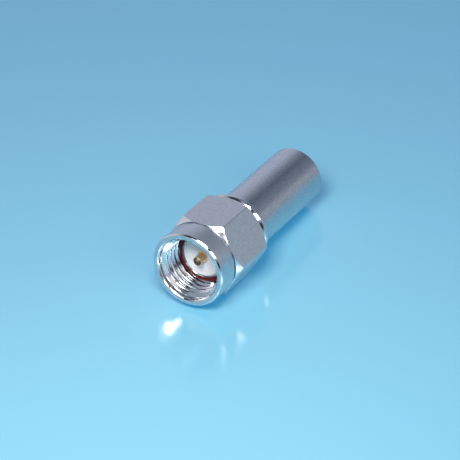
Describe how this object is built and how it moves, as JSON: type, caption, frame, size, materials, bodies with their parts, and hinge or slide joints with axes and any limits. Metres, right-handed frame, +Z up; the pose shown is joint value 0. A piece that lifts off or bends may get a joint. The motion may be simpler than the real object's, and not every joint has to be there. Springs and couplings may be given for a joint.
{
  "type": "coaxial sma plug",
  "caption": "Crimp coaxial plug: hexagonal spinning nut round a centre pin in a white insulator, with a plain tube ferrule behind.",
  "frame": {"origin": "on the axis at the reference plane, the front face of the outer conductor's tube", "axes": "+Y along the axis towards the cable, +Z up from the nut's flat that the plug lies on, +X to the right seen from the front"},
  "size_m": [0.0092, 0.0221, 0.008],
  "materials": {
    "polished_nickel": "nickel plated brass, turned",
    "satin_nickel": "nickel plated brass, satin",
    "red_silicone": "smooth silicone rubber",
    "white_ptfe": "smooth white fluoropolymer",
    "gold_plate": "gold plated",
    "bronze": "plain spring bronze"
  },
  "bodies": {
    "connector_body": {"connector_body": "polished_nickel", "gasket": "red_silicone", "insulator": "white_ptfe", "center_contact": "gold_plate", "retaining_ring": "bronze"},
    "coupling_nut": {"coupling_nut": "polished_nickel"},
    "crimp_ferrule": {"crimp_ferrule": "satin_nickel"}
  },
  "joints": [
    {"name": "nut_spin", "type": "hinge", "parent": "connector_body", "child": "coupling_nut", "pos_m": [0, 0.0017, 0], "axis": [0, 1, 0], "continuous": true},
    {"name": "ferrule_slide", "type": "slide", "parent": "connector_body", "child": "crimp_ferrule", "axis": [0, 1, 0], "range_m": [0, 0.008]}
  ]
}
